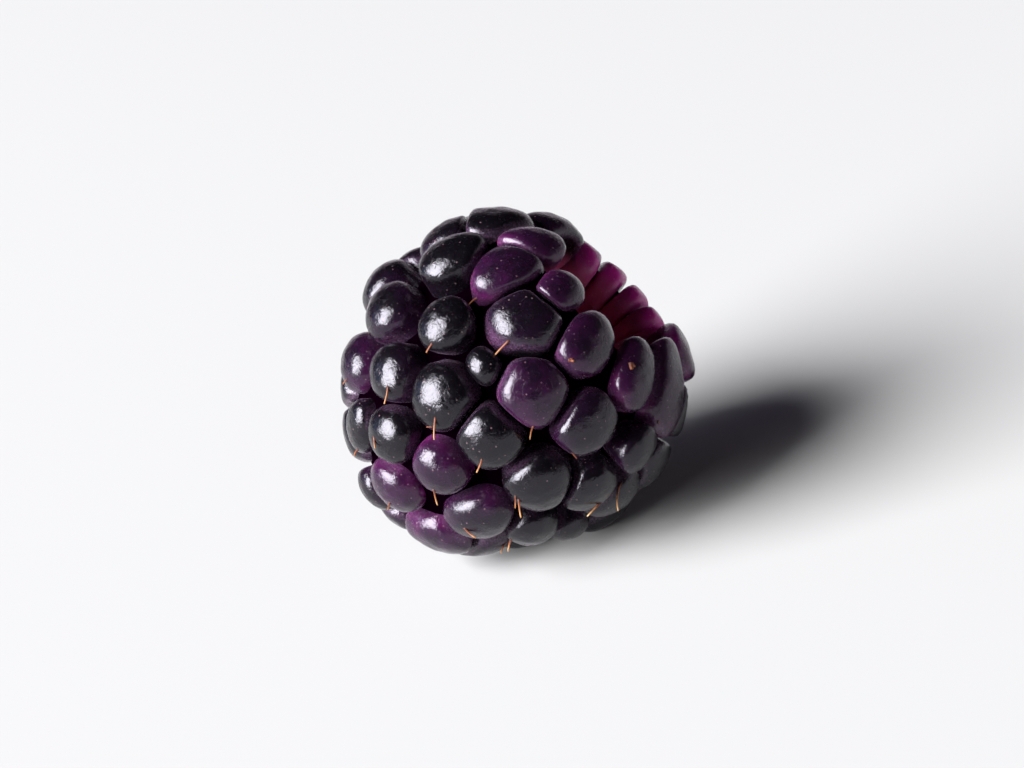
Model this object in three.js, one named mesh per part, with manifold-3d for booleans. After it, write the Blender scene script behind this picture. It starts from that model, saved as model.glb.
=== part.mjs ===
/**
 * Bramble berry: the ripe fruit of a black raspberry, picked, so that it is a hollow cup of drupelets.
 *
 * The berry is one grown piece. Its drupelets sit in rows round a cup of fused flesh, each one domed on the
 * outside, pressed flat against its neighbours and ending in the hollow that the receptacle left. It lies on
 * its side, with the mouth tipped up.
 *
 * Units are millimetres, +Z is up. The berry's own axis is +X of an inner group and points out of the mouth;
 * the group is then tipped up and set on the floor plane z = 0, with the origin under the box's middle.
 */
import * as THREE from 'three';
import { mergeVertices } from 'three/addons/utils/BufferGeometryUtils.js';
import Module from 'manifold-3d';

const wasm = await Module();
wasm.setup();

// Outer form: an ellipsoid of revolution that the tips of the drupelets touch, cut open at the mouth.
const GIRTH_RADIUS = 8.8;
const TIP_LENGTH = 10.35;
const MOUTH_LENGTH = 7.9;

// One drupelet of size 1: height of its dome, radius across it, and the roundness of its edges.
const DOME_HEIGHT = 1.62;
const DOME_RADIUS = 2.3;
const EDGE_POWER = 8;
const ROOT_POWER = 3;
const ROOT_LENGTH = 3.2;
const WALL_BULGE = 0.1;
const NEIGHBOUR_REACH = 5.2;
const SEGMENTS = 12;
const RINGS = 6;
const SMALLEST_EDGE = 0.03;

// The hollow, as radius against place along the axis, and the flesh that joins the drupelets round it.
const HOLLOW = [
	[-6.2, 0], [-6, 1.2], [-5, 2.3], [-3, 3.1], [0, 3.6], [3, 3.9], [5, 4.05], [9, 4.6],
];
const FLESH = [
	[-8.9, 0], [-8.4, 2.6], [-6.8, 4.7], [-5, 5.9], [-2.5, 6.5], [0.5, 6.6], [2.8, 6.3], [4.4, 5.8],
	[5, 5], [5.1, 4.6],
];
const ROUND_STEPS = 20;

// How it lies: the mouth's rise above level, and how deep the lowest drupelets are pressed flat.
const MOUTH_RISE = 33;
const PRESSED_FLAT = 0.28;

/**
 * The drupelets, row by row from the mouth to the tip. Each is [azimuth, latitude, size, lift, stretch]:
 * azimuth in degrees round the axis, 0 facing the front (-Y) and 90 facing down, latitude in degrees, 0 at
 * the girth, positive towards the mouth, size 1 as above, lift in mm out of the form, and stretch along the
 * meridian. Size and stretch are 1 and lift is 0 where they are left out.
 */
const ROWS = {
	rim: [
		[-73, 51, 0.64, 0, 1.4], [-35.5, 49.5, 0.58, 0, 1.1], [-7.5, 43.5, 0.74, 0, 1.18],
		[26, 46, 0.6, 0.05, 1.5], [58, 46, 0.96, 0.2, 1.5], [84, 36, 0.7, 0.1], [90, 48, 1.2, 0.5, 1.1],
		[113, 44, 0.8, 0.1], [130, 44.5, 0.8, 0.12, 1.1], [147, 44.5, 0.82, 0.12, 1.1],
		[165, 44, 0.86, 0.1, 1.05], [186, 43, 0.92], [221.5, 51.5, 1.02, 0, 0.86],
	],
	shoulder: [
		[-104, 33, 1.08, 0.05, 1.24], [-57.5, 39, 0.76, 0, 1.3], [-31.5, 37, 1.1, 0, 1.08],
		[-10, 15.5, 0.9, 0, 0.98], [14.5, 20.5, 0.72, 0, 1.14], [43, 21.5, 0.52, 0.1, 1.26],
		[79.5, 37, 1.04, 0.3, 1.16], [108, 22, 0.96], [132, 25, 0.96], [155, 23, 0.96], [179, 25, 0.96],
		[203, 20, 0.96], [229, 20, 0.96],
	],
	girth: [
		[-104, 20.5, 0.86, -0.1, 1.08], [-77.5, 21, 0.68, 0, 1.3], [-49.5, 5.5, 0.62, 0, 1.1],
		[-28.5, 7.5, 0.46, -0.55, 0.84], [-8.5, -8, 0.8, 0, 0.96], [19, -9, 0.84, 0, 0.96],
		[36.5, -1.5, 0.68, 0, 1.08], [57, -2, 0.86], [73, 13, 0.92, 0.1], [94, 5, 0.96], [119, 0, 0.96],
		[142, 4, 0.96], [166, 1, 0.96], [190, 3, 0.96], [214, 0, 0.96], [240, -8, 0.92],
	],
	belly: [
		[-103.5, -12.5, 0.8, 0.3, 0.94], [-77.5, -11, 0.78, 0.1, 0.92], [-52.5, -19.5, 0.72, 0, 0.94],
		[-30.5, -10.5, 0.84, 0, 0.96], [-12, -28, 0.7, 0, 0.94], [18, -33.5, 0.74, 0, 1.22],
		[40.5, -26, 0.72, 0, 0.88], [61, -20.5, 0.64, 0, 0.82], [84, -14, 0.96, 0.6], [110, -18, 0.96],
		[134, -16, 0.96], [158, -19, 0.96], [182, -16, 0.96], [206, -19, 0.96], [231, -21, 0.96],
	],
	flank: [
		[-82, -33, 0.82, 0, 0.86], [-36.5, -34.5, 0.68, 0, 1.06], [-58, -47, 0.54, -0.15, 1.38],
		[-19, -53.5, 0.76, 0, 0.98], [32, -58, 0.88, 0.3, 1.26], [-33, -72, 0.62, 0.2, 0.96],
		[-104, -47, 1, -0.1], [-82, -61, 0.9, -0.15], [96, -37, 0.96], [122, -38, 0.96, 0.55],
		[148, -38, 0.96], [174, -38, 0.96], [199, -40, 0.96], [225, -42, 0.96],
	],
	tip: [
		[42, -82, 0.88, 0.3], [74, -67, 0.92, 0.3], [45.5, -55.5, 1.14, 0.2, 1.12],
		[80.5, -40.5, 1.18, 0.05, 0.8], [122, -60, 0.96], [167, -59, 0.96], [214, -64, 0.96],
		[172, -80, 0.92],
	],
};

const skin = new THREE.MeshStandardMaterial({ color: 0x2a1430, roughness: 0.28, metalness: 0 });

/** Places one drupelet on the form: its centre, and the outward, sideways and mouthward directions there. */
function placeDrupelet([azimuth, latitude, size = 1, lift = 0, stretch = 1]) {
	const half = latitude >= 0 ? MOUTH_LENGTH : TIP_LENGTH;
	const lat = THREE.MathUtils.degToRad(latitude);
	const turn = THREE.MathUtils.degToRad(azimuth);
	const along = half * Math.sin(lat);
	const out = GIRTH_RADIUS * Math.cos(lat);
	const slope = new THREE.Vector2(along / half ** 2, out / GIRTH_RADIUS ** 2).normalize();
	const depth = DOME_HEIGHT * size - lift;
	const radial = new THREE.Vector3(0, -Math.cos(turn), -Math.sin(turn));
	const axis = new THREE.Vector3(1, 0, 0);
	const outward = axis.clone().multiplyScalar(slope.x).addScaledVector(radial, slope.y);
	const sideways = new THREE.Vector3(0, Math.sin(turn), -Math.cos(turn));
	const mouthward = new THREE.Vector3().crossVectors(outward, sideways);
	const centre = axis.multiplyScalar(along - slope.x * depth).addScaledVector(radial, out - slope.y * depth);
	return { centre, outward, sideways, mouthward, size, stretch };
}

/** How wide a drupelet wants to be in one direction; neighbours share the space between them by it. */
function reach(drupelet, direction) {
	const { outward, sideways, mouthward, size, stretch } = drupelet;
	const along = stretch * direction.dot(mouthward);
	return size * Math.hypot(direction.dot(outward), direction.dot(sideways), along);
}

/** The flat that a drupelet is pressed to by each neighbour: its direction and its distance. */
function pressedSides(drupelet, all) {
	return all.filter((other) => other !== drupelet).flatMap((other) => {
		const direction = other.centre.clone().sub(drupelet.centre);
		const gap = direction.length();
		direction.normalize();
		if (gap > NEIGHBOUR_REACH) return [];
		const mine = reach(drupelet, direction);
		return [{ direction, distance: gap * mine / (mine + reach(other, direction)) }];
	});
}

/** The flat that a drupelet beside the hollow ends in, on the hollow's wall; none for one past its end. */
function hollowSide({ centre }) {
	const wall = radiusAt(HOLLOW, centre.x);
	const inward = new THREE.Vector3(0, -centre.y, -centre.z);
	const distance = inward.length() - wall + WALL_BULGE;
	return wall > 0 ? [{ direction: inward.normalize(), distance }] : [];
}

/** Radius of a profile of [along, radius] points at one place along the axis. */
function radiusAt(profile, along) {
	const next = profile.findIndex(([x]) => x > along);
	if (next <= 0) return next < 0 ? profile.at(-1)[1] : 0;
	const [[x0, r0], [x1, r1]] = [profile[next - 1], profile[next]];
	return r0 + (r1 - r0) * (along - x0) / (x1 - x0);
}

/**
 * A drupelet's closed surface. Seen from its centre it is a dome outwards and a blunter root inwards, and
 * each neighbour's flat cuts in; all of them are blended by one power sum, which rounds the edges.
 */
function drupeletGeometry(drupelet, all) {
	const { centre, outward, sideways, mouthward, size, stretch } = drupelet;
	const sides = [...pressedSides(drupelet, all), ...hollowSide(drupelet)];
	const geometry = new THREE.SphereGeometry(1, SEGMENTS, RINGS);
	const position = geometry.getAttribute('position');
	const ray = new THREE.Vector3();
	for (let i = 0; i < position.count; i++) {
		const [x, up, z] = [position.getX(i), position.getY(i), position.getZ(i)];
		ray.copy(outward).multiplyScalar(up).addScaledVector(sideways, -x).addScaledVector(mouthward, z);
		const power = up > 0 ? 2 : ROOT_POWER;
		const height = up > 0 ? DOME_HEIGHT * size : ROOT_LENGTH;
		const across = Math.hypot(x, z / stretch) / (DOME_RADIUS * size);
		const form = (Math.abs(up / height) ** power + across ** power) ** (1 / power);
		const flats = sides.map((side) => Math.max(0, ray.dot(side.direction)) / side.distance);
		const sum = flats.reduce((total, flat) => total + flat ** EDGE_POWER, form ** EDGE_POWER);
		ray.multiplyScalar(sum ** (-1 / EDGE_POWER)).add(centre);
		position.setXYZ(i, ray.x, ray.y, ray.z);
	}
	return geometry;
}

/** A body of revolution about +X from a profile of [along, radius] points that starts on the axis. */
function turnedGeometry(profile) {
	const points = profile.map(([along, radius]) => new THREE.Vector2(radius, along));
	points.push(new THREE.Vector2(0, profile.at(-1)[0]));
	return new THREE.LatheGeometry(points, ROUND_STEPS).rotateZ(-Math.PI / 2);
}

/** A manifold-3d solid from a closed three.js geometry. */
function toSolid(geometry) {
	const bare = geometry.clone();
	bare.deleteAttribute('normal');
	bare.deleteAttribute('uv');
	const merged = mergeVertices(bare, 1e-4);
	return new wasm.Manifold(new wasm.Mesh({
		numProp: 3,
		vertProperties: new Float32Array(merged.getAttribute('position').array),
		triVerts: new Uint32Array(merged.getIndex().array),
	}));
}

/** A three.js geometry from a manifold-3d solid. */
function toGeometry(solid) {
	const mesh = solid.getMesh();
	const geometry = new THREE.BufferGeometry();
	geometry.setAttribute('position', new THREE.BufferAttribute(mesh.vertProperties, 3));
	geometry.setIndex(new THREE.BufferAttribute(mesh.triVerts, 1));
	geometry.computeVertexNormals();
	return geometry;
}

/** The whole berry along +X: drupelets joined on a cup of flesh round the hollow. */
function berrySolid() {
	const drupelets = Object.values(ROWS).flat().map(placeDrupelet);
	const bodies = drupelets.map((drupelet) => toSolid(drupeletGeometry(drupelet, drupelets)));
	const flesh = toSolid(turnedGeometry(FLESH)).subtract(toSolid(turnedGeometry(HOLLOW)));
	return wasm.Manifold.union([flesh, ...bodies]);
}

/** Tips the berry up, cuts the pressed flats at the floor and centres it over the origin. */
function layDown(solid) {
	const geometry = toGeometry(solid);
	geometry.rotateY(-THREE.MathUtils.degToRad(MOUTH_RISE));
	geometry.computeBoundingBox();
	const { min, max } = geometry.boundingBox;
	geometry.translate(-(min.x + max.x) / 2, -(min.y + max.y) / 2, -min.z - PRESSED_FLAT);
	const floor = new THREE.BoxGeometry(60, 60, 10).translate(0, 0, -5);
	const bodies = toSolid(geometry).subtract(toSolid(floor)).simplify(SMALLEST_EDGE).decompose();
	return toGeometry(bodies.sort((a, b) => b.volume() - a.volume())[0]);
}

const berry = new THREE.Mesh(layDown(berrySolid()), skin);
berry.name = 'berry';

const part = new THREE.Group();
part.name = 'bramble_berry';
part.add(berry);

export default part;
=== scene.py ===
"""A ripe bramble berry, picked and hollow, lying on its side on a pale table.

The berry's own frame has +X along its axis, out of the mouth, and its girth at x = 0. It is tipped up and
set down on the table by one turn and one shift, the same as for the solid that it replaces. Shapes are
worked out in millimetres and go into the meshes in metres.
"""
import math
from types import SimpleNamespace

import bpy
import numpy as np
from mathutils import Matrix, Vector


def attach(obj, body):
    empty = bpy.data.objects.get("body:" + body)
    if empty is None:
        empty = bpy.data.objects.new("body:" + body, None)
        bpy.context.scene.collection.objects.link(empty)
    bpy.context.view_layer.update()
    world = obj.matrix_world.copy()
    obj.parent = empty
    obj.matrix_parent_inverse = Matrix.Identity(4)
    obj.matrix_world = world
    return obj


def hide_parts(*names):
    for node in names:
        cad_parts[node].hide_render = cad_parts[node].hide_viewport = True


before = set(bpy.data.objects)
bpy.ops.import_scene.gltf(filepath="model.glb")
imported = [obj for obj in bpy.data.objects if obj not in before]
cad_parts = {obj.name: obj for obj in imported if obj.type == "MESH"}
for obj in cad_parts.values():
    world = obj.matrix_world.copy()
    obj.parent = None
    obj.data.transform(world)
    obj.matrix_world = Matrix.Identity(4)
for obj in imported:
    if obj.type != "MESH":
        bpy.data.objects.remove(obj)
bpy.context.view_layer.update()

MM = 0.001

# Outer form of the berry, which the tips of the drupelets touch.
GIRTH_RADIUS = 8.8
TIP_LENGTH = 10.35
MOUTH_LENGTH = 7.9

# One drupelet of size 1. A higher power gives a blunter root and sharper edges.
DOME_HEIGHT = 1.62
DOME_RADIUS = 2.3
ROOT_LENGTH = 4.4
ROOT_POWER = 3.0
EDGE_POWER = 8.0

# How far off a neighbour still presses, the half width of the crevice between two, and how far their sides
# lean in towards the tips, as a slope.
NEIGHBOUR_REACH = 5.2
CREVICE = 0.05
LEAN = 0.06

# Unevenness of the skins: each wave's direction and pace over a drupelet, and the height of one wave.
WAVES = [(9, 4, 1), (-5, 10, 3), (3, -8, 9), (12, -6, -4), (7, 9, -8), (4, 3, 11)]
WAVE_HEIGHT = 0.0035

# The hollow and the outside of the cup of flesh, as places along the axis with the radius at each.
HOLLOW = [(-6.2, 0.0), (-6.0, 1.2), (-5.0, 2.3), (-3.0, 3.1), (0.0, 3.6), (3.0, 3.9), (5.0, 4.15), (9.0, 4.8)]
FLESH = [(-9.3, 0), (-8.8, 2.6), (-7.2, 4.9), (-5.2, 6.2), (-2.5, 6.8), (0.5, 6.9), (2.8, 6.5), (4.4, 6.0),
         (5.2, 5.3), (5.4, 4.8)]

# How far drupelets swell into the hollow, and how far the cup's own wall stands back behind their ends.
WALL_BULGE = 0.45
WALL_BACK = 0.6

# How it lies: the mouth's rise in degrees, and how much the lowest skin is pressed in.
MOUTH_RISE = 33.0
PRESSED_FLAT = 0.28

# Each drupelet: azimuth, latitude, size, lift, stretch along the meridian.
ROWS = {
    "rim": [
        (-73, 51, 0.64, 0, 1.4), (-35.5, 49.5, 0.58, 0, 1.1), (-7.5, 43.5, 0.74, 0, 1.18),
        (26, 46, 0.6, 0.05, 1.5), (58, 46, 0.96, 0.2, 1.5), (84, 36, 0.7, 0.1),
        (90, 48, 1.2, 0.5, 1.1), (113, 44, 0.8, 0.1), (130, 44.5, 0.8, 0.12, 1.1), (147, 44.5, 0.82, 0.12, 1.1),
        (165, 44, 0.86, 0.1, 1.05), (186, 43, 0.92), (221.5, 51.5, 1.02, 0, 0.86),
    ],
    "shoulder": [
        (-104, 33, 1.08, 0.05, 1.24), (-57.5, 39, 0.76, 0, 1.3), (-31.5, 37, 1.1, 0, 1.08),
        (-10, 15.5, 0.9, 0, 0.98), (14.5, 20.5, 0.72, 0, 1.14), (43, 21.5, 0.52, 0.1, 1.26),
        (79.5, 37, 1.04, 0.3, 1.16), (108, 22, 0.96), (132, 25, 0.96), (155, 23, 0.96), (179, 25, 0.96),
        (203, 20, 0.96), (229, 20, 0.96),
    ],
    "girth": [
        (-104, 20.5, 0.86, -0.1, 1.08), (-77.5, 21, 0.68, 0, 1.3), (-49.5, 5.5, 0.62, 0, 1.1),
        (-28.5, 7.5, 0.46, -0.55, 0.84), (-8.5, -8, 0.8, 0, 0.96), (19, -9, 0.84, 0, 0.96),
        (36.5, -1.5, 0.68, 0, 1.08), (57, -2, 0.86), (73, 13, 0.92, 0.1), (94, 5, 0.96), (119, 0, 0.96),
        (142, 4, 0.96), (166, 1, 0.96), (190, 3, 0.96), (214, 0, 0.96), (240, -8, 0.92),
    ],
    "belly": [
        (-103.5, -12.5, 0.8, 0.3, 0.94), (-77.5, -11, 0.78, 0.1, 0.92), (-52.5, -19.5, 0.72, 0, 0.94),
        (-30.5, -10.5, 0.84, 0, 0.96), (-12, -28, 0.7, 0, 0.94), (18, -33.5, 0.74, 0, 1.22),
        (40.5, -26, 0.72, 0, 0.88), (61, -20.5, 0.64, 0, 0.82), (84, -14, 0.96, 0.6), (110, -18, 0.96),
        (134, -16, 0.96), (158, -19, 0.96), (182, -16, 0.96), (206, -19, 0.96), (231, -21, 0.96),
    ],
    "flank": [
        (-82, -33, 0.82, 0, 0.86), (-36.5, -34.5, 0.68, 0, 1.06), (-58, -47, 0.54, -0.15, 1.38),
        (-19, -53.5, 0.76, 0, 0.98), (32, -58, 0.88, 0.3, 1.26), (-33, -72, 0.62, 0.2, 0.96),
        (-104, -47, 1.0, -0.1), (-82, -61, 0.9, -0.15), (96, -37, 0.96), (122, -38, 0.96, 0.55),
        (148, -38, 0.96), (174, -38, 0.96), (199, -40, 0.96), (225, -42, 0.96),
    ],
    "tip": [
        (42, -82, 0.88, 0.3), (74, -67, 0.92, 0.3), (45.5, -55.5, 1.14, 0.2, 1.12),
        (80.5, -40.5, 1.18, 0.05, 0.8), (122, -60, 0.96), (167, -59, 0.96), (214, -64, 0.96),
        (172, -80, 0.92),
    ],
}

# Ripeness of each drupelet in the same order, from 0, still magenta, to 1, black. Below 0 it has no painted
# dark middle either. The far rim's values near and below 0 are also set low to paint the glow of light through
# its thin drupelets as brighter magenta.
RIPENESS = {
    "rim": [0.34, 0.34, 0.42, 0.4, 0.35, 0.36, 0.2, 0.05, -0.05, -0.1, -0.1, 0.05, 0.6],
    "shoulder": [0.95, 0.4, 0.62, 0.42, 0.6, 0.65, 0.7, 0.7, 0.6, 0.75, 0.65, 0.8, 0.85],
    "girth": [0.7, 0.95, 1.0, 0.9, 1.0, 0.95, 0.95, 0.9, 0.8, 0.85, 0.8, 0.7, 0.85, 0.75, 0.9, 0.7],
    "belly": [0.75, 0.65, 0.7, 1.0, 0.38, 0.55, 0.9, 0.8, 0.85, 0.8, 0.9, 0.75, 0.85, 0.7, 0.8],
    "flank": [0.5, 0.85, 0.8, 0.38, 0.42, 0.7, 0.7, 0.8, 0.8, 0.85, 0.7, 0.6, 0.75, 0.8],
    "tip": [0.6, 0.65, 0.6, 0.8, 0.7, 0.6, 0.75, 0.6],
}

# Dried styles left on the skins: row, number in the row, then where it grows, as a bearing round the drupelet
# (90 is towards the mouth, 270 towards the berry's tip) and an angle from the drupelet's tip, then length,
# heading from straight down the skin, rise off the skin, bend and thickness.
STYLES = [
    ("shoulder", 2, 280, 65, 1.4, -15, 20, 0.1, 1), ("belly", 2, 355, 40, 0.9, -40, 20, -0.15, 1),
    ("belly", 3, 320, 35, 1.1, -15, 25, 0.12, 1), ("belly", 3, 305, 60, 0.35, -95, 20, 0.1, 0.7),
    ("girth", 2, 305, 60, 0.6, -35, 20, 0.1, 1), ("girth", 4, 300, 35, 0.8, 0, 25, -0.1, 1),
    ("belly", 4, 310, 40, 1, 5, 20, 0.1, 1), ("girth", 5, 230, 55, 0.7, 100, 25, 0, 0.8),
    ("girth", 5, 240, 50, 0.95, 95, 30, 0.1, 1.1), ("belly", 5, 215, 30, 0.7, 150, 20, 0.5, 1.1),
    ("belly", 6, 230, 55, 1, 95, 25, 0.1, 1.1), ("shoulder", 3, 315, 65, 0.9, -15, 20, 0.15, 0.8),
    ("shoulder", 1, 285, 100, 0.7, -50, 20, 0.3, 0.9), ("girth", 0, 300, 85, 0.75, 65, 20, 0.3, 1),
    ("belly", 0, 305, 85, 0.8, -80, 25, 0.3, 1), ("flank", 0, 335, 50, 0.4, -105, 25, 0.2, 0.9),
    ("flank", 1, 205, 20, 0.6, 125, 20, 0.3, 1), ("flank", 2, 305, 65, 0.65, -85, 25, 0.3, 1),
    ("flank", 3, 10, 20, 0.6, -95, 20, 0.2, 1), ("shoulder", 4, 275, 75, 0.4, 70, 20, 0.3, 0.8),
    ("girth", 7, 140, 70, 1.4, 120, 15, 0.35, 1), ("girth", 6, 350, 30, 1, -145, 15, 0.4, 1),
    ("tip", 2, 80, 75, 0.6, 140, 15, 0.3, 0.9), ("rim", 2, 265, 65, 0.25, 120, 10, 0.3, 1.8),
    ("rim", 2, 265, 60, 0.15, 60, 20, 0.2, 1.3), ("rim", 3, 170, 55, 0.3, 100, 10, 0.3, 2.4),
    ("rim", 3, 170, 55, 0.25, 150, 20, 0.2, 1.6), ("rim", 4, 230, 70, 0.2, 60, 20, 0.3, 1.2),
    ("shoulder", 8, 280, 60, 0.8, 10, 20, 0.2, 1), ("shoulder", 10, 265, 55, 1, -20, 25, 0.1, 0.9),
    ("shoulder", 12, 275, 70, 0.7, 30, 20, -0.3, 1), ("girth", 10, 285, 45, 1, 0, 20, 0.2, 1),
    ("girth", 12, 260, 60, 0.6, -40, 20, 0.3, 0.9), ("girth", 13, 275, 50, 1.1, 15, 25, 0.1, 1),
    ("girth", 15, 270, 65, 0.8, -10, 20, 0.4, 0.9), ("belly", 10, 280, 50, 0.9, 20, 20, -0.2, 1),
    ("belly", 11, 255, 40, 1.1, -10, 25, 0.1, 1), ("belly", 13, 270, 60, 0.7, 45, 20, 0.3, 0.9),
    ("belly", 14, 290, 55, 0.9, -25, 20, 0.2, 1), ("flank", 10, 275, 45, 0.8, 0, 25, 0.3, 1),
    ("flank", 11, 260, 60, 1, 25, 20, -0.1, 0.9), ("flank", 13, 280, 50, 0.7, -35, 20, 0.2, 1),
    ("tip", 5, 265, 55, 0.8, 15, 20, 0.3, 1), ("tip", 7, 100, 60, 0.6, -20, 20, 0.2, 0.9),
]

# Mesh fineness: points round a drupelet, its rings' angles from the tip, and points round the cup and a style.
AROUND = 40
POLAR = np.radians([0, *range(4, 95, 5), 100, 108, 120, 135, 150, 165, 180])
CUP_AROUND = 96
STYLE_AROUND = 7

# Radii of a style's rings, from its root to its end.
STYLE_RADII = [0.075, 0.058, 0.05, 0.046, 0.043, 0.04, 0.042, 0.03]


def linear(hex_colour):
    """An sRGB hex colour as linear RGBA: a channel c goes to c / 12.92, or to ((c + 0.055) / 1.055) ^ 2.4."""
    channels = [int(hex_colour[i:i + 2], 16) / 255 for i in (1, 3, 5)]
    return tuple(c / 12.92 if c <= 0.04045 else ((c + 0.055) / 1.055) ** 2.4 for c in channels) + (1.0,)


def unit(vectors):
    """Vectors divided by their lengths."""
    return vectors / np.linalg.norm(vectors, axis=-1, keepdims=True)


def place_drupelets():
    """Every drupelet's centre, outward, sideways and mouthward directions, size, stretch and ripeness.

    A drupelet's tip is on an ellipsoid of revolution at its azimuth and latitude. Its centre lies inwards
    from there, along the ellipsoid's normal, by the dome's height less its lift.
    """
    rows = [row + (1, 0, 1)[len(row) - 2:] for group in ROWS.values() for row in group]
    azimuth, latitude, size, lift, stretch = np.array(rows, float).T
    turn, lat = np.radians(azimuth), np.radians(latitude)
    half = np.where(lat >= 0, MOUTH_LENGTH, TIP_LENGTH)
    along, out = half * np.sin(lat), GIRTH_RADIUS * np.cos(lat)
    radial = np.stack([0 * turn, -np.cos(turn), -np.sin(turn)], 1)
    axis = np.array([[1.0, 0.0, 0.0]])
    outward = unit((along / half**2)[:, None] * axis + (out / GIRTH_RADIUS**2)[:, None] * radial)
    sideways = np.stack([0 * turn, np.sin(turn), -np.cos(turn)], 1)
    tip = along[:, None] * axis + out[:, None] * radial
    return SimpleNamespace(
        centre=tip - (DOME_HEIGHT * size - lift)[:, None] * outward, outward=outward, sideways=sideways,
        mouthward=np.cross(outward, sideways), size=size, stretch=stretch,
        ripeness=np.array([ripe for group in RIPENESS.values() for ripe in group], float),
    )


def wall_radius(along):
    """Radius of the hollow at a place along the axis, 0 past its closed end."""
    places, radii = np.array(HOLLOW).T
    return np.interp(along, places, radii, left=0.0)


def pressed_sides(d):
    """Direction and distance of every flat that a drupelet is pressed to, as (n, k, 3) and (n, k) arrays.

    Two neighbours share the gap between their centres in proportion to how wide each one wants to be that
    way. The flats lean in a little towards the tip, so that crevices are V-shaped. The wall of the hollow
    is one more flat. Pairs out of reach get a flat so far off that it has no effect.
    """
    far = 1e6
    offset = d.centre[None] - d.centre[:, None]
    gap = np.linalg.norm(offset, axis=2) + 1e-9
    direction = offset / gap[..., None]

    def reach(owner):
        """Half width of each pair's first (0) or second (1) drupelet towards the other, by one ellipse rule."""
        pick = (slice(None), None) if owner == 0 else (None, slice(None))
        parts = [(direction * v[pick]).sum(-1) for v in (d.outward, d.sideways, d.mouthward)]
        return d.size[pick] * np.sqrt(parts[0]**2 + parts[1]**2 + (d.stretch[pick] * parts[2])**2)

    mine, theirs = reach(0), reach(1)
    leaning = unit(direction + LEAN * d.outward[:, None])
    own = gap * mine / np.maximum(mine + theirs, 1e-9) - CREVICE
    near = (gap < NEIGHBOUR_REACH) & (gap > 1e-6)
    distance = np.where(near, own * (leaning * direction).sum(-1), far)
    inward = np.stack([0 * d.size, -d.centre[:, 1], -d.centre[:, 2]], 1)
    wall = wall_radius(d.centre[:, 0])
    to_wall = np.where(wall > 0, np.linalg.norm(inward, axis=1) - wall + WALL_BULGE, far)
    directions = np.concatenate([leaning, unit(inward)[:, None]], 1)
    return directions, np.concatenate([distance, to_wall[:, None]], 1)


def skin_points(d, sides, pick, polar, bearing):
    """Points on the skins of the picked drupelets, at angles from their tips and bearings round them.

    It also gives how much of each point is side: 0 on the dome, 1 on a flat, half where the edge is roundest.

    Seen from the centre, the distance to the surface is the inverse of a power sum: a dome outwards, a
    blunt root inwards, and each flat's own cut, all blended so that edges are rounded. A sum of slow sine
    waves then makes the skin slightly uneven.
    """
    x, y, up = np.sin(polar) * np.cos(bearing), np.sin(polar) * np.sin(bearing), np.cos(polar)
    frames = [v[pick][:, None] for v in (d.sideways, d.mouthward, d.outward)]
    rays = sum(part[..., None] * v for part, v in zip((x, y, up), frames))
    k, stretch = d.size[pick][:, None], d.stretch[pick][:, None]
    across = np.hypot(x, y / stretch) / (DOME_RADIUS * k)
    dome = np.hypot(up / (DOME_HEIGHT * k), across)
    root = (np.abs(up / ROOT_LENGTH)**ROOT_POWER + across**ROOT_POWER)**(1 / ROOT_POWER)
    direction, distance = sides[0][pick], sides[1][pick]
    flats = np.maximum(np.einsum("nmc,nkc->nmk", rays, direction), 0) / distance[:, None]
    total = np.where(up > 0, dome, root)**EDGE_POWER + (flats**EDGE_POWER).sum(-1)
    phase = 2.4 * pick[:, None]
    waves = sum(np.sin(a * x + b * y + c * up + (i + 1) * phase) for i, (a, b, c) in enumerate(WAVES))
    distance_out = total**(-1 / EDGE_POWER) * (1 + WAVE_HEIGHT * waves)
    return d.centre[pick][:, None] + rays * distance_out[..., None], (flats**EDGE_POWER).sum(-1) / total


def lay_down(points):
    """Points of the berry's own frame as they lie on the table: tipped about Y by the mouth's rise."""
    rise = math.radians(MOUTH_RISE)
    turn = np.array([[math.cos(rise), 0, -math.sin(rise)], [0, 1, 0], [math.sin(rise), 0, math.cos(rise)]])
    return points @ turn.T


def ring_faces(first, count, rings, around):
    """Quads between neighbouring rings of closed loops, for count shells that follow each other."""
    shell = np.arange(count)[:, None, None] * rings * around + first
    ring = np.arange(rings - 1)[None, :, None] * around
    step = np.arange(around)[None, None]
    a, b = shell + ring + step, shell + ring + (step + 1) % around
    return np.stack([a, a + around, b + around, b], -1).reshape(-1, 4)


def fan_faces(pole, ring_start, around, flip=False):
    """Triangles from each pole to the loop that starts at ring_start, one fan per pole."""
    step = np.arange(around)[None]
    a, b = ring_start[:, None] + step, ring_start[:, None] + (step + 1) % around
    order = (b, a) if flip else (a, b)
    return np.stack([pole[:, None] + 0 * step, *order], -1).reshape(-1, 3)


def make_object(name, points, faces, material, attributes=None, smooth=True):
    """A mesh object with its place in its mesh, from points in millimetres, polygons and point attributes."""
    mesh = bpy.data.meshes.new(name)
    mesh.from_pydata((points * MM).tolist(), [], faces)
    mesh.polygons.foreach_set("use_smooth", [smooth] * len(mesh.polygons))
    for key, values in (attributes or {}).items():
        layer = mesh.attributes.new(key, "FLOAT", "POINT")
        layer.data.foreach_set("value", np.asarray(values, np.float32))
    mesh.materials.append(material)
    mesh.update()
    made = bpy.data.objects.new(name, mesh)
    bpy.context.scene.collection.objects.link(made)
    return made


def add_node(tree, kind, inputs=None, **settings):
    """Adds one node. inputs maps a socket's name or number to a value, or to a socket to link from."""
    node = tree.nodes.new(kind)
    for key, value in settings.items():
        setattr(node, key, value)
    for key, value in (inputs or {}).items():
        if isinstance(value, bpy.types.NodeSocket):
            tree.links.new(value, node.inputs[key])
        else:
            node.inputs[key].default_value = value
    return node


def new_material(name):
    """An empty node material and its tree."""
    material = bpy.data.materials.new(name)
    material.use_nodes = True
    material.node_tree.nodes.clear()
    return material, material.node_tree


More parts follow.
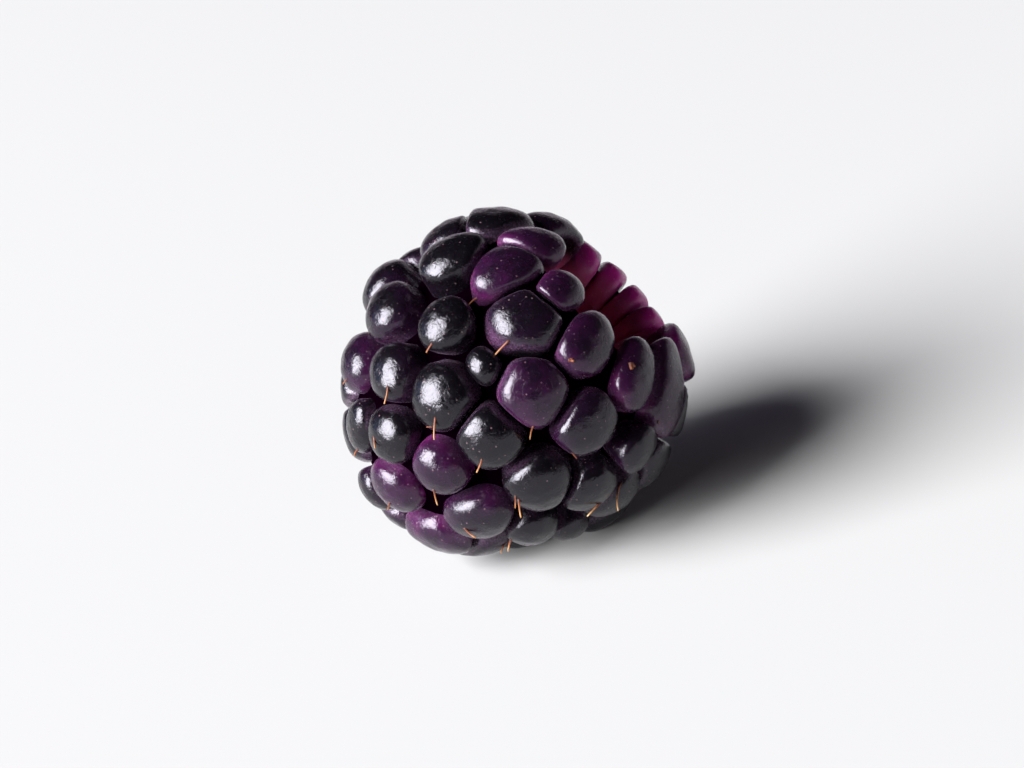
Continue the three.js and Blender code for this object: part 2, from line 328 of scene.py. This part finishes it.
def set_ramp(node, stops):
    """Colour stops of a ramp, as (place, hex colour) pairs."""
    ramp = node.color_ramp
    while len(ramp.elements) < len(stops):
        ramp.elements.new(0.5)
    for element, (place, colour) in zip(ramp.elements, stops):
        element.position = place
        element.color = linear(colour)


def drupelet_skin():
    """Ripe bramble skin: a thin taut membrane, grown round dark juice and a stone, with a trace of wax bloom.

    It gives near-black pools with magenta where unripe, with painted shade darker in the middle over the stone
    and down in the crevices, a pink hollow side painted as if glowing with light through the thin rim, a soft
    silvery window highlight broken by leathery wrinkles, a pale line along the edges that is partly wax bloom
    that rubbing spares and partly painted rim reflection, and pale pin-prick specks.
    """
    material, tree = new_material("bramble_skin_bloom_and_painted_light")
    place = add_node(tree, "ShaderNodeTexCoord").outputs["Object"]
    # One unit of this is one millimetre, so a scale of 4 is a pattern 0.25 mm across. The patches of juice are
    # 1.3 mm, the wrinkles 0.33 mm and the specks' cells 0.28 mm. Real grains of wax are far finer than the
    # 0.1 mm clumps drawn here, which are as small as still show.
    mm = add_node(tree, "ShaderNodeMapping", {"Vector": place, "Scale": (1000, 1000, 1000)}).outputs[0]
    ripeness = add_node(tree, "ShaderNodeAttribute", attribute_name="ripeness").outputs["Fac"]
    depth = add_node(tree, "ShaderNodeAttribute", attribute_name="depth").outputs["Fac"]
    edge = add_node(tree, "ShaderNodeAttribute", attribute_name="edge").outputs["Fac"]
    inner = add_node(tree, "ShaderNodeAttribute", attribute_name="inner").outputs["Fac"]

    patches = add_node(tree, "ShaderNodeTexNoise", {
        "Vector": mm, "Scale": 0.75, "Detail": 4.0, "Roughness": 0.6})
    centred = add_node(tree, "ShaderNodeMath", {0: patches.outputs[0], 1: 0.5}, operation="SUBTRACT")
    patchy = add_node(tree, "ShaderNodeMath", {
        0: centred.outputs[0], 1: 0.7, 2: ripeness}, operation="MULTIPLY_ADD")
    # Painted shade: darker towards each drupelet's tip, over the stone, and a little lighter lower down.
    stone = add_node(tree, "ShaderNodeMapRange", {
        "Value": depth, "From Min": 0.1, "From Max": 0.9, "To Min": 0.15, "To Max": -0.1})
    # Painted shade: darker down in the crevices, on the drupelets' sides.
    crevice = add_node(tree, "ShaderNodeMapRange", {
        "Value": edge, "From Min": 0.8, "From Max": 0.97, "To Min": 0.0, "To Max": 0.5})
    shaded = add_node(tree, "ShaderNodeMath", {0: stone.outputs[0], 1: crevice.outputs[0]}, operation="ADD")
    darkness = add_node(tree, "ShaderNodeMath", {0: patchy.outputs[0], 1: shaded.outputs[0]}, operation="ADD")
    # The juice ramp's input also carries the painted shade above; its brightest magenta, on the far rim, is
    # partly painted glow of light through the thin rim.
    juice = add_node(tree, "ShaderNodeValToRGB", {"Fac": darkness.outputs[0]})
    set_ramp(juice, [(0.0, "#BC2890"), (0.12, "#701460"), (0.25, "#43103C"), (0.42, "#280B28"),
                     (0.62, "#130716"), (0.82, "#070509"), (1.0, "#040406")])
    # Painted glow: pink and bright on the hollow side, as if lit through the thin rim.
    hollow_side_painted_glow = add_node(tree, "ShaderNodeMix", {
        0: inner, 6: juice.outputs[0], 7: linear("#C85480")}, data_type="RGBA")

    grain = add_node(tree, "ShaderNodeTexNoise", {
        "Vector": mm, "Scale": 10.0, "Detail": 3.0, "Roughness": 0.7})
    grainy = add_node(tree, "ShaderNodeMapRange", {
        "Value": grain.outputs[0], "From Min": 0.4, "From Max": 0.72, "To Min": 0.15, "To Max": 1.0})
    # A pale line along each edge: partly wax bloom that rubbing spares, partly painted reflection of the pale
    # walls at the rim.
    bloom_edge_and_painted_rim = add_node(tree, "ShaderNodeValToRGB", {"Fac": edge})
    set_ramp(bloom_edge_and_painted_rim, [(0.0, "#141414"), (0.3, "#202020"), (0.6, "#888888"), (0.75, "#888888"),
                          (0.92, "#000000")])
    bloom = add_node(tree, "ShaderNodeMath", {
        0: grainy.outputs[0], 1: bloom_edge_and_painted_rim.outputs[0]}, operation="MULTIPLY")
    bloom_and_painted_rim_colour = add_node(tree, "ShaderNodeMix", {
        0: bloom.outputs[0], 6: hollow_side_painted_glow.outputs[2], 7: linear("#A67CA6")}, data_type="RGBA")

    cells = add_node(tree, "ShaderNodeTexVoronoi", {"Vector": mm, "Scale": 3.6, "Randomness": 1.0})
    kept = add_node(tree, "ShaderNodeSeparateColor", {0: cells.outputs["Color"]})
    dot = add_node(tree, "ShaderNodeMapRange", {
        "Value": cells.outputs["Distance"], "From Min": 0.08, "From Max": 0.2, "To Min": 1.0, "To Max": 0.0})
    some = add_node(tree, "ShaderNodeMath", {0: kept.outputs[0], 1: 0.72}, operation="GREATER_THAN")
    speck = add_node(tree, "ShaderNodeMath", {0: dot.outputs[0], 1: some.outputs[0]}, operation="MULTIPLY")
    speck_soft = add_node(tree, "ShaderNodeMath", {0: speck.outputs[0], 1: 0.2}, operation="MULTIPLY")
    coloured = add_node(tree, "ShaderNodeMix", {
        0: speck_soft.outputs[0], 6: bloom_and_painted_rim_colour.outputs[2], 7: linear("#C8A0A8")}, data_type="RGBA")

    wrinkles = add_node(tree, "ShaderNodeTexNoise", {
        "Vector": mm, "Scale": 3.0, "Detail": 3.0, "Roughness": 0.55, "Distortion": 1.5})
    rough = add_node(tree, "ShaderNodeMapRange", {
        "Value": wrinkles.outputs[0], "From Min": 0.3, "From Max": 0.7, "To Min": 0.11, "To Max": 0.3})
    bump = add_node(tree, "ShaderNodeBump", {
        "Height": wrinkles.outputs[0], "Strength": 1.0, "Distance": 0.026 * MM})
    shader = add_node(tree, "ShaderNodeBsdfPrincipled", {
        "Base Color": coloured.outputs[2], "Roughness": rough.outputs[0], "IOR": 1.5,
        "Specular Tint": linear("#F2EEFA"), "Normal": bump.outputs[0],
        "Subsurface Weight": 0.25, "Subsurface Radius": (1.0, 0.25, 0.45), "Subsurface Scale": 0.6 * MM,
        "Sheen Weight": 0.08, "Sheen Roughness": 0.25, "Sheen Tint": linear("#D8B8D8"),
    })
    add_node(tree, "ShaderNodeOutputMaterial", {"Surface": shader.outputs["BSDF"]})
    return material


def cup_flesh():
    """Torn bramble flesh round the hollow: soft fibrous tissue, torn off the receptacle and stained by juice.

    It is matt, with painted shade making it near black down in the crevices and dark red deep in the hollow,
    pinker towards the lip. Its fibres gather in tufts of about 0.4 mm.
    """
    material, tree = new_material("juice_stained_flesh_and_painted_shade")
    place = add_node(tree, "ShaderNodeTexCoord").outputs["Object"]
    mm = add_node(tree, "ShaderNodeMapping", {"Vector": place, "Scale": (1000, 1000, 1000)}).outputs[0]
    shade = add_node(tree, "ShaderNodeAttribute", attribute_name="flesh").outputs["Fac"]
    fibres = add_node(tree, "ShaderNodeTexNoise", {
        "Vector": mm, "Scale": 2.5, "Detail": 5.0, "Roughness": 0.6})
    mixed = add_node(tree, "ShaderNodeMath", {
        0: fibres.outputs[0], 1: 0.3, 2: shade}, operation="MULTIPLY_ADD")
    shifted = add_node(tree, "ShaderNodeMath", {0: mixed.outputs[0], 1: 0.15}, operation="SUBTRACT")
    colour = add_node(tree, "ShaderNodeValToRGB", {"Fac": shifted.outputs[0]})
    # The near-black stops are painted shade, for the outside of the cup down in the crevices; inside, the
    # juice-stained reds darken deeper in the hollow as painted shade.
    set_ramp(colour, [(0.0, "#040003"), (0.2, "#060105"), (0.32, "#8C2C34"), (0.55, "#A83C48"),
                     (0.8, "#B84468"), (1.0, "#C04890")])
    bump = add_node(tree, "ShaderNodeBump", {
        "Height": fibres.outputs[0], "Strength": 0.8, "Distance": 0.1 * MM})
    shader = add_node(tree, "ShaderNodeBsdfPrincipled", {
        "Base Color": colour.outputs[0], "Roughness": 0.7, "Specular IOR Level": 0.0,
        "Normal": bump.outputs[0],
        "Subsurface Weight": 0.3, "Subsurface Radius": (1.0, 0.25, 0.35), "Subsurface Scale": 0.8 * MM,
    })
    add_node(tree, "ShaderNodeOutputMaterial", {"Surface": shader.outputs["BSDF"]})
    return material


def dried_style():
    """A withered style: a brittle plant hair, dried on the berry, in blotches of about 0.25 mm.

    It is rust brown where it grew from and straw coloured at its end.
    """
    material, tree = new_material("withered_style")
    place = add_node(tree, "ShaderNodeTexCoord").outputs["Object"]
    mm = add_node(tree, "ShaderNodeMapping", {"Vector": place, "Scale": (1000, 1000, 1000)}).outputs[0]
    dry = add_node(tree, "ShaderNodeAttribute", attribute_name="dry").outputs["Fac"]
    blotches = add_node(tree, "ShaderNodeTexNoise", {"Vector": mm, "Scale": 4.0, "Detail": 2.0})
    mixed = add_node(tree, "ShaderNodeMath", {
        0: blotches.outputs[0], 1: 0.6, 2: dry}, operation="MULTIPLY_ADD")
    shifted = add_node(tree, "ShaderNodeMath", {0: mixed.outputs[0], 1: 0.3}, operation="SUBTRACT")
    colour = add_node(tree, "ShaderNodeValToRGB", {"Fac": shifted.outputs[0]})
    set_ramp(colour, [(0.0, "#4A1C10"), (0.3, "#763C1E"), (0.6, "#9A643A"), (1.0, "#C49C6E")])
    shader = add_node(tree, "ShaderNodeBsdfPrincipled", {
        "Base Color": colour.outputs[0], "Roughness": 0.5, "IOR": 1.5,
        "Subsurface Weight": 0.2, "Subsurface Radius": (1.0, 0.5, 0.3), "Subsurface Scale": 0.1 * MM,
    })
    add_node(tree, "ShaderNodeOutputMaterial", {"Surface": shader.outputs["BSDF"]})
    return material


def table_top():
    """Matt white laminate, pressed smooth: an even pale table with no gloss of its own."""
    material, tree = new_material("matt_white_laminate")
    shader = add_node(tree, "ShaderNodeBsdfPrincipled", {
        "Base Color": linear("#BCBCBC"), "Roughness": 0.9, "Specular IOR Level": 0.0})
    add_node(tree, "ShaderNodeOutputMaterial", {"Surface": shader.outputs["BSDF"]})
    return material


def drupelet_shells(d):
    """Points, faces and attributes of all drupelets, each one a closed shell.

    A shell is a grid of rings from the tip to the root, with one point at each end. Its depth value is 0 at
    the tip and 1 at the height of the centre. Its edge value is how much of a point is side. Its inner value
    is 1 on the wall of the hollow and fades to 0 within 1.8 mm of it and at the height of the centre.
    """
    count, rings = len(d.size), len(POLAR) - 2
    pick = np.arange(count)
    polar, bearing = np.meshgrid(POLAR, np.linspace(0, 2 * np.pi, AROUND, endpoint=False), indexing="ij")
    skin, side = skin_points(d, pressed_sides(d), pick, polar.reshape(1, -1), bearing.reshape(1, -1))
    grid = skin.reshape(count, rings + 2, AROUND, 3)
    edge = side.reshape(count, rings + 2, AROUND)[:, 1:-1]
    n = count * rings * AROUND
    first = pick * rings * AROUND
    faces = (ring_faces(0, count, rings, AROUND).tolist() + fan_faces(n + pick, first, AROUND).tolist()
             + fan_faces(n + count + pick, first + (rings - 1) * AROUND, AROUND, flip=True).tolist())
    body = grid[:, 1:-1]
    height = np.einsum("nrac,nc->nra", body - d.centre[:, None, None], d.outward)
    depth = np.clip(1 - height / (DOME_HEIGHT * d.size)[:, None, None], 0, 1.4)
    from_axis = np.hypot(body[..., 1], body[..., 2]) - wall_radius(body[..., 0])
    inner = np.clip(1.8 - from_axis, 0, 1) * np.clip(-height, 0, 1)
    none, full = np.zeros(count), np.ones(count)
    attributes = {
        "ripeness": np.concatenate([np.repeat(d.ripeness, rings * AROUND), d.ripeness, d.ripeness]),
        "edge": np.concatenate([edge.ravel(), none, full]),
        "depth": np.concatenate([depth.ravel(), none, 1.4 * full]),
        "inner": np.concatenate([inner.ravel(), none, full]),
    }
    return np.concatenate([body.reshape(-1, 3), grid[:, 0, 0], grid[:, -1, 0]]), faces, attributes


def cup_shell():
    """The cup of flesh, a profile turned about the axis: its outside up to the lip, then the hollow's wall.

    Its flesh value, which sets the flesh's painted shade, is 0 on the outside, for near-black flesh in the
    crevices, and inside it grows from the closed end to 1 at the lip, so the hollow darkens deeper in.
    """
    wall = [(place, radius + WALL_BACK) for place, radius in HOLLOW[1:-1]]
    profile = np.array(FLESH + wall[::-1] + [HOLLOW[0]])
    turn = np.linspace(0, 2 * np.pi, CUP_AROUND, endpoint=False)
    body = profile[1:-1]
    loops = np.stack([body[:, :1] + 0 * turn, -body[:, 1:] * np.cos(turn), -body[:, 1:] * np.sin(turn)], -1)
    n = loops.size // 3
    faces = (ring_faces(0, 1, len(body), CUP_AROUND)[:, ::-1].tolist()
             + fan_faces(np.array([n]), np.array([0]), CUP_AROUND, flip=True).tolist()
             + fan_faces(np.array([n + 1]), np.array([n - CUP_AROUND]), CUP_AROUND).tolist())
    points = np.concatenate([loops.reshape(-1, 3), [[profile[0, 0], 0, 0], [profile[-1, 0], 0, 0]]])
    inside = np.arange(len(body)) >= len(FLESH) - 1
    # Painted shade: near black on the outside, seen in the crevices, and darker deeper in the hollow.
    shade = np.where(inside, np.clip(0.4 + body[:, 0] / 14, 0.3, 0.8), 0)
    flesh = np.concatenate([np.repeat(shade, CUP_AROUND), [0, 0.3]])
    return points, faces, {"flesh": flesh}


def style_tubes(d, sides):
    """Points, faces and attributes of the dried styles, each one a bent tapered hair, closed at both ends.

    A style's middle line starts a little under the skin and is a parabola: straight on by its length, and
    aside by its bend times the square of how far along it is. Rings stand square to that line.
    """
    keys = [(row, i) for row, group in ROWS.items() for i in range(len(group))]
    pick = np.array([keys.index((row, i)) for row, i, *_ in STYLES])
    numbers = np.array([style[2:] for style in STYLES], float)
    bearing, polar, length, heading, rise, bend, thick = numbers.T
    bearing, polar, heading, rise = (np.radians(v)[:, None] for v in (bearing, polar, heading, rise))
    root = skin_points(d, sides, pick, polar, bearing)[0][:, 0]
    down = unit(skin_points(d, sides, pick, polar + 0.05, bearing)[0][:, 0] - root)
    beside = unit(skin_points(d, sides, pick, polar, bearing + 0.05)[0][:, 0] - root)
    normal = unit(np.cross(down, beside))
    beside = np.cross(normal, down)
    flat = np.cos(heading) * down + np.sin(heading) * beside
    ahead = np.cos(rise) * flat + np.sin(rise) * normal
    aside = np.cross(normal, flat)
    t = np.linspace(0, 1, len(STYLE_RADII))[None, :, None]
    line = (root - 0.05 * normal)[:, None] + length[:, None, None] * (
        t * ahead[:, None] + bend[:, None, None] * t**2 * aside[:, None])
    tangent = unit(np.gradient(line, axis=1))
    up = unit(np.cross(aside[:, None], tangent))
    across = np.cross(tangent, up)
    turn = np.linspace(0, 2 * np.pi, STYLE_AROUND, endpoint=False)[None, None, :, None]
    radii = thick[:, None, None, None] * np.array(STYLE_RADII)[None, :, None, None]
    rings = line[:, :, None] + radii * (np.cos(turn) * up[:, :, None] + np.sin(turn) * across[:, :, None])
    count, steps = len(pick), len(STYLE_RADII)
    index = np.arange(count)
    first, n = index * steps * STYLE_AROUND, count * steps * STYLE_AROUND
    faces = (ring_faces(0, count, steps, STYLE_AROUND)[:, ::-1].tolist()
             + fan_faces(n + index, first, STYLE_AROUND, flip=True).tolist()
             + fan_faces(n + count + index, first + (steps - 1) * STYLE_AROUND, STYLE_AROUND).tolist())
    dryness = np.clip(length, 0, 1)
    dry = (dryness[:, None, None] * np.linspace(0, 1, steps)[None, :, None] * np.ones(STYLE_AROUND)).ravel()
    points = np.concatenate([rings.reshape(-1, 3), line[:, 0], line[:, -1]])
    return points, faces, {"dry": np.concatenate([dry, 0 * dryness, dryness])}


def build_camera(girth_centre):
    """A camera with a portrait lens, looking down at the berry from its front, turned about its own view."""
    azimuth, elevation, roll, distance = 4.34, 23.53, 13.45, 110.0
    az, el, ro = (math.radians(v) for v in (azimuth, elevation, roll))
    back = np.array([math.sin(az) * math.cos(el), -math.cos(az) * math.cos(el), math.sin(el)])
    level = np.array([math.cos(az), math.sin(az), 0.0])
    upright = np.cross(back, level)
    data = bpy.data.cameras.new("camera")
    data.lens = 75.4
    data.sensor_width = 36.0
    data.shift_x = -0.0103
    data.shift_y = -0.0137
    data.clip_start = 0.01
    data.clip_end = 50.0
    camera = bpy.data.objects.new("camera", data)
    matrix = np.eye(4)
    matrix[:3, 0] = math.cos(ro) * level - math.sin(ro) * upright
    matrix[:3, 1] = math.sin(ro) * level + math.cos(ro) * upright
    matrix[:3, 2] = back
    matrix[:3, 3] = (girth_centre + back * distance) * MM
    camera.matrix_world = Matrix(matrix.tolist())
    bpy.context.scene.collection.objects.link(camera)
    bpy.context.scene.camera = camera


def build_studio():
    """Pale table, one large window-like soft light from the front left, and a dim room with pale walls."""
    half = 800.0
    corners = np.array([[-half, -half, 0], [half, -half, 0], [half, half, 0], [-half, half, 0]])
    make_object("floor", corners, [(0, 1, 2, 3)], table_top(), smooth=False)
    light = bpy.data.lights.new("window", "AREA")
    light.shape = "RECTANGLE"
    light.size, light.size_y = 2.2, 2.5
    light.color = (0.99, 0.99, 1.0)
    light.energy = 440.0
    window = bpy.data.objects.new("window", light)
    towards = Vector((-0.797, -0.413, 0.446))
    window.location = towards * 3.0
    window.rotation_euler = towards.to_track_quat("Z", "Y").to_euler()
    bpy.context.scene.collection.objects.link(window)
    world = bpy.data.worlds.new("room")
    world.use_nodes = True
    tree = world.node_tree
    tree.nodes.clear()
    # The room is dark but for pale walls behind and to the right, which fade out a third of the way up.
    sky = add_node(tree, "ShaderNodeTexCoord").outputs["Generated"]
    way = add_node(tree, "ShaderNodeSeparateXYZ", {0: sky})
    facing = add_node(tree, "ShaderNodeVectorMath", {0: sky, 1: (0.6, 0.8, 0.0)}, operation="DOT_PRODUCT")
    behind = add_node(tree, "ShaderNodeMapRange", {
        "Value": facing.outputs["Value"], "From Min": 0.0, "From Max": 0.5}, interpolation_type="SMOOTHSTEP")
    low = add_node(tree, "ShaderNodeMapRange", {
        "Value": way.outputs[2], "From Min": 0.05, "From Max": 0.45, "To Min": 1.0, "To Max": 0.0},
        interpolation_type="SMOOTHSTEP")
    wall = add_node(tree, "ShaderNodeMath", {0: behind.outputs[0], 1: low.outputs[0]}, operation="MULTIPLY")
    room = add_node(tree, "ShaderNodeMix", {
        0: wall.outputs[0], 6: linear("#141418"), 7: linear("#E8DCE8")}, data_type="RGBA")
    # A doorway's weak blue daylight from the left.
    left = add_node(tree, "ShaderNodeVectorMath", {0: sky, 1: (-0.97, 0.05, 0.22)}, operation="DOT_PRODUCT")
    door = add_node(tree, "ShaderNodeMapRange", {
        "Value": left.outputs["Value"], "From Min": 0.86, "From Max": 0.98}, interpolation_type="SMOOTHSTEP")
    lit = add_node(tree, "ShaderNodeMix", {
        0: door.outputs[0], 6: room.outputs[2], 7: linear("#90A8D8")}, data_type="RGBA")
    dim = add_node(tree, "ShaderNodeBackground", {"Color": lit.outputs[2], "Strength": 1.0})
    pale = add_node(tree, "ShaderNodeBackground", {"Color": linear("#F3F3F5"), "Strength": 1.0})
    # The background that the camera sees past the table is plain and pale.
    camera_ray = add_node(tree, "ShaderNodeLightPath").outputs["Is Camera Ray"]
    seen = add_node(tree, "ShaderNodeMixShader", {0: camera_ray, 1: dim.outputs[0], 2: pale.outputs[0]})
    add_node(tree, "ShaderNodeOutputWorld", {"Surface": seen.outputs[0]})
    bpy.context.scene.world = world
    bpy.context.scene.view_settings.view_transform = "Standard"


def build_berry():
    """Makes the berry's pieces, lays them on the table and returns where the middle of the girth comes to be.

    The shift that centres the drupelets on the table and presses the lowest ones in is the same for all.
    """
    d = place_drupelets()
    drupelets, cup, styles = drupelet_shells(d), cup_shell(), style_tubes(d, pressed_sides(d))
    laid = lay_down(drupelets[0])
    shift = -(laid.min(0) + laid.max(0)) / 2
    shift[2] = -laid[:, 2].min() - PRESSED_FLAT
    for name, (points, faces, attributes), material in (
            ("drupelets", drupelets, drupelet_skin()), ("cup", cup, cup_flesh()),
            ("dried_styles", styles, dried_style())):
        placed = lay_down(points) + shift
        placed[:, 2] = np.maximum(placed[:, 2], 0.0)
        piece = make_object(name, placed, faces, material, attributes)
        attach(piece, "root")
        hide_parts("berry")
    return shift


build_camera(build_berry())
build_studio()
